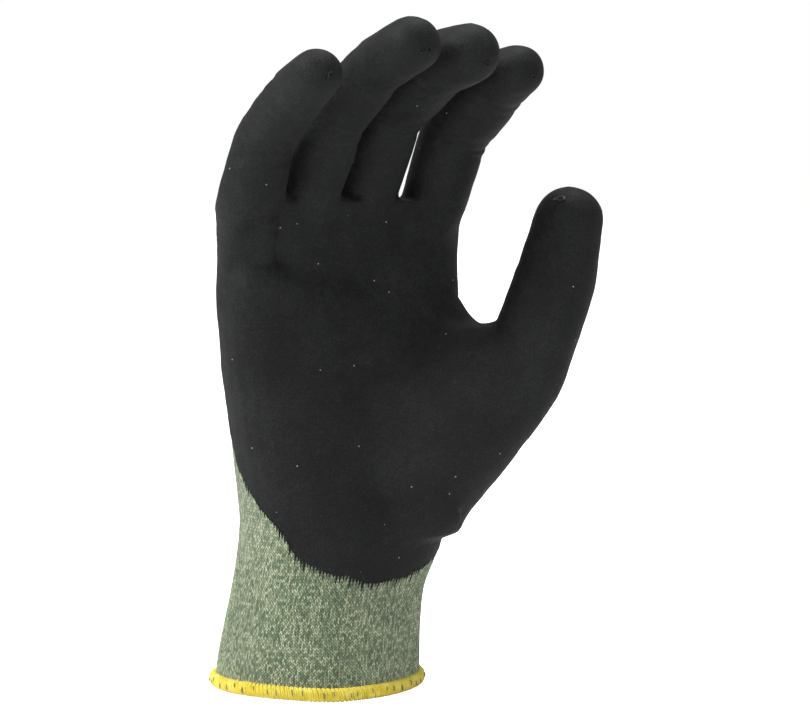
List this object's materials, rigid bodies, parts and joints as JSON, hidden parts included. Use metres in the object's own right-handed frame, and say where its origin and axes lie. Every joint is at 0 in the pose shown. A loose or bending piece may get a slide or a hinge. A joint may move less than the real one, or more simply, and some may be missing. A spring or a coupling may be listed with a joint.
{
  "type": "cut resistant glove",
  "caption": "Right-hand knitted cut resistant glove with a nitrile palm dip and overlocked cuff, fingers lightly curled, folding at the wrist, knuckles and finger joints.",
  "frame": {"origin": "centre of the hem's plane, where a hand goes in", "axes": "+Z from the cuff to the fingers, -Y the way the palm faces, +X towards the thumb"},
  "size_m": [0.1152, 0.0955, 0.2121],
  "materials": {
    "knit": "seamless fine-gauge knit, grey-green melange",
    "film": "matt black nitrile film",
    "hem_yarn": "yellow overlock yarn",
    "rubber_yarn": "covered elastic yarn",
    "knot_yarn": "end of the liner yarn"
  },
  "bodies": {
    "cuff": {"cuff_hem": "hem_yarn", "liner_cuff": "knit", "cuff_elastic_yarns": "rubber_yarn"},
    "wrist": {"liner_wrist": "knit", "coating_wrist": "film"},
    "palm": {"liner_palm": "knit", "coating_palm": "film"},
    "index_proximal": {"liner_index_proximal": "knit", "coating_index_proximal": "film"},
    "index_middle": {"liner_index_middle": "knit", "coating_index_middle": "film"},
    "index_distal": {"liner_index_distal": "knit", "coating_index_distal": "film", "index_tip_knot": "knot_yarn"},
    "middle_proximal": {"liner_middle_proximal": "knit", "coating_middle_proximal": "film"},
    "middle_middle": {"liner_middle_middle": "knit", "coating_middle_middle": "film"},
    "middle_distal": {"liner_middle_distal": "knit", "coating_middle_distal": "film", "middle_tip_knot": "knot_yarn"},
    "ring_proximal": {"liner_ring_proximal": "knit", "coating_ring_proximal": "film"},
    "ring_middle": {"liner_ring_middle": "knit", "coating_ring_middle": "film"},
    "ring_distal": {"liner_ring_distal": "knit", "coating_ring_distal": "film", "ring_tip_knot": "knot_yarn"},
    "little_proximal": {"liner_little_proximal": "knit", "coating_little_proximal": "film"},
    "little_middle": {"liner_little_middle": "knit", "coating_little_middle": "film"},
    "little_distal": {"liner_little_distal": "knit", "coating_little_distal": "film", "little_tip_knot": "knot_yarn"},
    "thumb_base": {"liner_thumb_base": "knit", "coating_thumb_base": "film"},
    "thumb_proximal": {"liner_thumb_proximal": "knit", "coating_thumb_proximal": "film"},
    "thumb_distal": {"liner_thumb_distal": "knit", "coating_thumb_distal": "film", "thumb_tip_knot": "knot_yarn"}
  },
  "joints": [
    {"name": "wrist_tilt", "type": "hinge", "parent": "cuff", "child": "wrist", "pos_m": [0.0034, 0, 0.038], "axis": [0, 1, 0], "range_deg": [-15, 15], "stiffness_Nm_per_rad": 0.5, "deforming": ["liner_wrist", "coating_wrist"]},
    {"name": "wrist_bend", "type": "hinge", "parent": "wrist", "child": "palm", "pos_m": [0.0046, 0, 0.06], "axis": [1, 0, 0], "range_deg": [-40, 45], "stiffness_Nm_per_rad": 0.4},
    {"name": "index_root", "type": "hinge", "parent": "palm", "child": "index_proximal", "pos_m": [0.03664, -0.00613, 0.15209], "axis": [0.9995, 0, -0.0314], "range_deg": [-25, 50], "stiffness_Nm_per_rad": 0.08},
    {"name": "index_middle_joint", "type": "hinge", "parent": "index_proximal", "child": "index_middle", "pos_m": [0.03745, -0.01554, 0.17792], "axis": [0.9995, 0, -0.0314], "range_deg": [-30, 56], "stiffness_Nm_per_rad": 0.06},
    {"name": "index_tip_joint", "type": "hinge", "parent": "index_middle", "child": "index_distal", "pos_m": [0.03792, -0.0351, 0.19265], "axis": [0.9995, 0, -0.0314], "range_deg": [-18, 33.6], "stiffness_Nm_per_rad": 0.04},
    {"name": "middle_root", "type": "hinge", "parent": "palm", "child": "middle_proximal", "pos_m": [0.0135, -0.0031, 0.1553], "axis": [1, 0, 0], "range_deg": [-25, 50], "stiffness_Nm_per_rad": 0.08},
    {"name": "middle_middle_joint", "type": "hinge", "parent": "middle_proximal", "child": "middle_middle", "pos_m": [0.0135, -0.01604, 0.18435], "axis": [1, 0, 0], "range_deg": [-30, 56], "stiffness_Nm_per_rad": 0.06},
    {"name": "middle_tip_joint", "type": "hinge", "parent": "middle_middle", "child": "middle_distal", "pos_m": [0.0135, -0.04029, 0.19951], "axis": [1, 0, 0], "range_deg": [-18, 33.6], "stiffness_Nm_per_rad": 0.04},
    {"name": "ring_root", "type": "hinge", "parent": "palm", "child": "ring_proximal", "pos_m": [-0.00869, -0.00658, 0.15588], "axis": [0.9999, 0, 0.014], "range_deg": [-25, 50], "stiffness_Nm_per_rad": 0.08},
    {"name": "ring_middle_joint", "type": "hinge", "parent": "ring_proximal", "child": "ring_middle", "pos_m": [-0.00903, -0.01867, 0.18068], "axis": [0.9999, 0, 0.014], "range_deg": [-24, 60], "stiffness_Nm_per_rad": 0.06},
    {"name": "ring_tip_joint", "type": "hinge", "parent": "ring_middle", "child": "ring_distal", "pos_m": [-0.00926, -0.04024, 0.19693], "axis": [0.9999, 0, 0.014], "range_deg": [-14.4, 36], "stiffness_Nm_per_rad": 0.04},
    {"name": "little_root", "type": "hinge", "parent": "palm", "child": "little_proximal", "pos_m": [-0.03128, -0.0082, 0.15242], "axis": [0.9993, 0, 0.0384], "range_deg": [-25, 50], "stiffness_Nm_per_rad": 0.08},
    {"name": "little_middle_joint", "type": "hinge", "parent": "little_proximal", "child": "little_middle", "pos_m": [-0.03203, -0.01417, 0.17192], "axis": [0.9993, 0, 0.0384], "range_deg": [-24, 60], "stiffness_Nm_per_rad": 0.06},
    {"name": "little_tip_joint", "type": "hinge", "parent": "little_middle", "child": "little_distal", "pos_m": [-0.03254, -0.0276, 0.18534], "axis": [0.9993, 0, 0.0384], "range_deg": [-14.4, 36], "stiffness_Nm_per_rad": 0.04},
    {"name": "thumb_swing", "type": "hinge", "parent": "palm", "child": "thumb_base", "pos_m": [0.043, -0.02491, 0.08386], "axis": [0.8801, 0.4107, -0.2383], "range_deg": [-12, 22], "stiffness_Nm_per_rad": 0.15},
    {"name": "thumb_knuckle", "type": "hinge", "parent": "thumb_base", "child": "thumb_proximal", "pos_m": [0.05207, -0.03572, 0.09873], "axis": [0.3671, -0.7866, -0.4965], "range_deg": [-22, 48], "stiffness_Nm_per_rad": 0.08},
    {"name": "thumb_tip_joint", "type": "hinge", "parent": "thumb_proximal", "child": "thumb_distal", "pos_m": [0.05924, -0.0434, 0.13107], "axis": [0.4098, -0.8782, -0.2465], "range_deg": [-12, 60], "stiffness_Nm_per_rad": 0.05}
  ],
  "couplings": [
    {"joint": "index_tip_joint", "follows": "index_middle_joint", "ratio": 0.6},
    {"joint": "middle_tip_joint", "follows": "middle_middle_joint", "ratio": 0.6},
    {"joint": "ring_tip_joint", "follows": "ring_middle_joint", "ratio": 0.6},
    {"joint": "little_tip_joint", "follows": "little_middle_joint", "ratio": 0.6}
  ]
}
